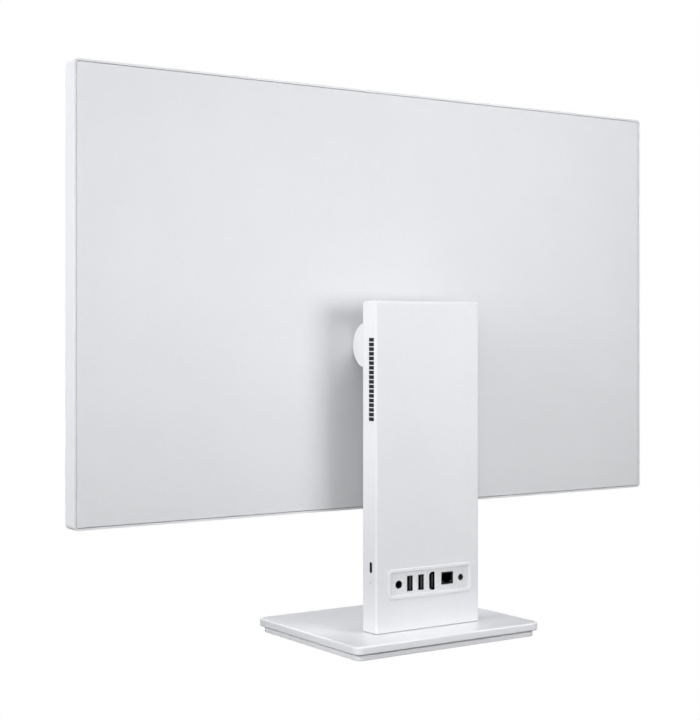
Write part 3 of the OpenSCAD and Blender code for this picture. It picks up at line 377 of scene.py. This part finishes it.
STUDIO_MIDDLE = Vector((0, 0, 0.28))
WHITE = (1, 1, 1, 1)
LIGHT_COLOUR = (0.972, 0.976, 1.0)
BACKDROP_GLOW = 1.0  # as the camera sees it
BACKDROP_BOUNCE = 0.0  # as the object sees it
FLOOR_HALF = 7.0
FLOOR_GLOW = 1.0
FLOOR_BOUNCE = 0.174
SOFTBOXES = (
    # name, turn, height, away, size, power
    ("left", -80, 10, 1.2, 0.6, 9.5),
    ("left_behind", -45, 5, 2.4, 1.4, 13.0),
    ("overhead", 0, 80, 2.4, 1.4, 10.0),
    ("behind_low_left", -30, 5, 0.75, 0.35, 0.42),
    ("behind_low_middle", 0, 5, 0.75, 0.35, 0.65),
    ("behind_low_right", 20, 5, 0.75, 0.35, 2.3),
    ("behind_low_far", 40, 5, 0.75, 0.35, 0.26),
    ("behind_high", 30, 60, 0.9, 0.5, 2.27),
    ("front_high", 180, 60, 2.4, 1.4, 46.0),
    ("right_fill", 100, 8, 2.4, 1.4, 9.0),
)


def softbox(name, turn, height, away, size, power):
    """Soft square light aimed at the computer's middle.

    It stands turn degrees from straight behind, towards -X, and height degrees up.
    """
    data = bpy.data.lights.new(name, "AREA")
    data.shape = "RECTANGLE"
    data.size = data.size_y = size
    data.energy = power
    data.color = LIGHT_COLOUR
    turn, height = math.radians(turn), math.radians(height)
    level = math.cos(height)
    towards = Vector((-math.sin(turn) * level, math.cos(turn) * level, math.sin(height)))
    light = bpy.data.objects.new(name, data)
    light.location = STUDIO_MIDDLE + towards * away
    light.rotation_mode = "QUATERNION"
    light.rotation_quaternion = (-towards).to_track_quat("-Z", "Y")
    light.visible_camera = False
    bpy.context.scene.collection.objects.link(light)


def make_backdrop():
    """White behind the object, which lights nothing."""
    world = bpy.data.worlds.new("studio")
    world.use_nodes = True
    tree = world.node_tree
    bounced = tree.nodes["Background"]
    seen = tree.nodes.new("ShaderNodeBackground")
    for light, strength in ((bounced, BACKDROP_BOUNCE), (seen, BACKDROP_GLOW)):
        light.inputs["Color"].default_value = WHITE
        light.inputs["Strength"].default_value = strength
    path = tree.nodes.new("ShaderNodeLightPath")
    mix = tree.nodes.new("ShaderNodeMixShader")
    tree.links.new(path.outputs["Is Camera Ray"], mix.inputs[0])
    tree.links.new(bounced.outputs[0], mix.inputs[1])
    tree.links.new(seen.outputs[0], mix.inputs[2])
    tree.links.new(mix.outputs[0], tree.nodes["World Output"].inputs["Surface"])
    bpy.context.scene.world = world


def make_floor():
    """White paper that looks as bright as the backdrop but throws back less light."""
    mesh = bpy.data.meshes.new("floor")
    corners = [(x * FLOOR_HALF, y * FLOOR_HALF, 0) for x, y in ((-1, -1), (1, -1), (1, 1), (-1, 1))]
    mesh.from_pydata(corners, [], [(0, 1, 2, 3)])
    floor = bpy.data.objects.new("floor", mesh)
    bpy.context.scene.collection.objects.link(floor)
    paper = bpy.data.materials.new("paper")
    paper.use_nodes = True
    tree = paper.node_tree
    tree.nodes.remove(tree.nodes["Principled BSDF"])
    glow = tree.nodes.new("ShaderNodeEmission")
    path = tree.nodes.new("ShaderNodeLightPath")
    strength = tree.nodes.new("ShaderNodeMapRange")
    strength.inputs["To Min"].default_value = FLOOR_BOUNCE
    strength.inputs["To Max"].default_value = FLOOR_GLOW
    tree.links.new(path.outputs["Is Camera Ray"], strength.inputs["Value"])
    tree.links.new(strength.outputs["Result"], glow.inputs["Strength"])
    tree.links.new(glow.outputs[0], tree.nodes["Material Output"].inputs["Surface"])
    mesh.materials.append(paper)


# ---------------------------------------------------------------- pieces

WELD = 0.002 * MM  # points closer than this are one
FLAT_ANGLE = math.radians(0.5)  # faces that meet at less than this are joined
EDGE_ANGLE = math.radians(35)  # edges sharper than this are rounded


def frame_body(node):
    """The body that holds a node."""
    for body, held in frame["record"]["behaviour"]["bodies"].items():
        if node in held:
            return body
    raise KeyError(node)


def softened(node, width, slot, segments=3, finish=None):
    """The node's shape with its sharp edges rounded over by width."""
    mesh = nodes[node].data.copy()
    shape = bmesh.new()
    shape.from_mesh(mesh)
    bmesh.ops.remove_doubles(shape, verts=shape.verts, dist=WELD)
    bmesh.ops.dissolve_limit(shape, angle_limit=FLAT_ANGLE, verts=shape.verts, edges=shape.edges)
    for face in shape.faces:
        face.smooth = True
    shape.to_mesh(mesh)
    shape.free()
    mesh.materials.clear()
    mesh.materials.append((finish or FINISHES[slot]).material)
    piece = bpy.data.objects.new(node + "_finished", mesh)
    bpy.context.scene.collection.objects.link(piece)
    bevel = piece.modifiers.new("edges", "BEVEL")
    bevel.width = width
    bevel.segments = segments
    bevel.limit_method = "ANGLE"
    bevel.angle_limit = EDGE_ANGLE
    # Shading follows the largest face at each corner, so flat faces stay flat
    piece.modifiers.new("shading", "WEIGHTED_NORMAL").weight = 100
    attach(piece, frame_body(node))
    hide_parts(node)


make_camera()
bpy.context.scene.view_settings.view_transform = "Standard"
make_backdrop()
for light in SOFTBOXES:
    softbox(*light)
make_floor()

ACTIVE_INSET = 3.2 * MM  # from the panel's edge to the picture
lcd_low, lcd_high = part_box("lcd_panel")
active_low = (lcd_low[0] + ACTIVE_INSET, 0, lcd_low[2] + ACTIVE_INSET)
active_high = (lcd_high[0] - ACTIVE_INSET, 0, lcd_high[2] - ACTIVE_INSET)

SLOT_FINISHES = (
    powder_coat("base_paint", level=0.87, rough=0.48),
    dark_plastic("dark_plastic", level=0.012, rough=0.55),
    rubber("rubber", level=0.12),
    metal("steel", colour=(0.62, 0.63, 0.65), rough=0.34),
    moulded("white_plastic", level=0.795, rough=0.56),
    moulded("frame_paint", level=0.775, rough=0.44, grain=0.25 * MM, grain_depth=0.006 * MM),
    moulded("rear_panel", level=0.755, rough=0.46, grain=0.3 * MM),
    metal("cast_alloy", colour=(0.72, 0.72, 0.73), rough=0.45, brushed=(1, 1, 1)),
    metal("bronze", colour=(0.5, 0.33, 0.14), rough=0.4),
    moulded("port_grain", level=0.84, rough=0.62, grain=0.9 * MM, grain_depth=0.16 * MM,
            mottle=0.22, speck=1.4 * MM),
    metal("port_shell", colour=(0.02, 0.02, 0.022), rough=0.55),
    dark_plastic("grey_plastic", level=0.11, rough=0.45),
    # The gold is darkened well below bright plating: painted shade for pins that sit deep in their sockets
    metal("gold_contacts", colour=(0.42, 0.33, 0.18), rough=0.3),
    circuit_board("circuit_board"),
    light_pipe("light_pipe"),
    metal("copper", colour=(0.72, 0.36, 0.2), rough=0.3, brushed=(1, 1, 0.05)),
    metal("aluminium", colour=(0.78, 0.78, 0.79), rough=0.28),
    cable_film("cable_film"),
    screen_glass("screen_glass", active_low, active_high),
    screen_glass("lcd_glass", active_low, active_high),
    acrylic("clear_acrylic"),
    light_strip("light_strip"),
)
FINISHES = {finish.name: finish for finish in SLOT_FINISHES}
# Nodes whose finish differs from the one of their material slot
OWN_FINISHES = {
    "vent_meshes": dust_screen("dust_screen"),
    "contact_tongues": dark_plastic("tongue_plastic", level=0.045, rough=0.5),
    "audio_jack": dark_plastic("socket_plastic", level=0.04, rough=0.5),
}
# A paler copy of the white plastic for the port bezel's raised rim: painted highlight where the ridge catches
# the light
RIM_PAINTED_HIGHLIGHT = moulded("rim_plastic_painted_highlight", level=0.83, rough=0.6)

for subpart in frame["record"]["subparts"]:
    shown = nodes[subpart["node"]]
    finish = OWN_FINISHES.get(subpart["node"], FINISHES[subpart["material_slot"]])
    shown.data.materials.clear()
    shown.data.materials.append(finish.material)

softened("display_frame", 0.45 * MM, "frame_paint")
softened("display_back_cover", 0.35 * MM, "rear_panel")
softened("front_chin", 0.25 * MM, "white_plastic")
softened("column_shell", 0.22 * MM, "white_plastic")
softened("column_front_cover", 0.4 * MM, "white_plastic")
# The bezel's rim gets the paler copy of the white plastic, a painted highlight
softened("port_bezel", 0.6 * MM, "white_plastic", segments=4, finish=RIM_PAINTED_HIGHLIGHT)
softened("port_plate", 0.15 * MM, "port_grain")
softened("hinge_end_caps", 0.5 * MM, "white_plastic")
softened("base_bottom_plate", 0.5 * MM, "base_paint")
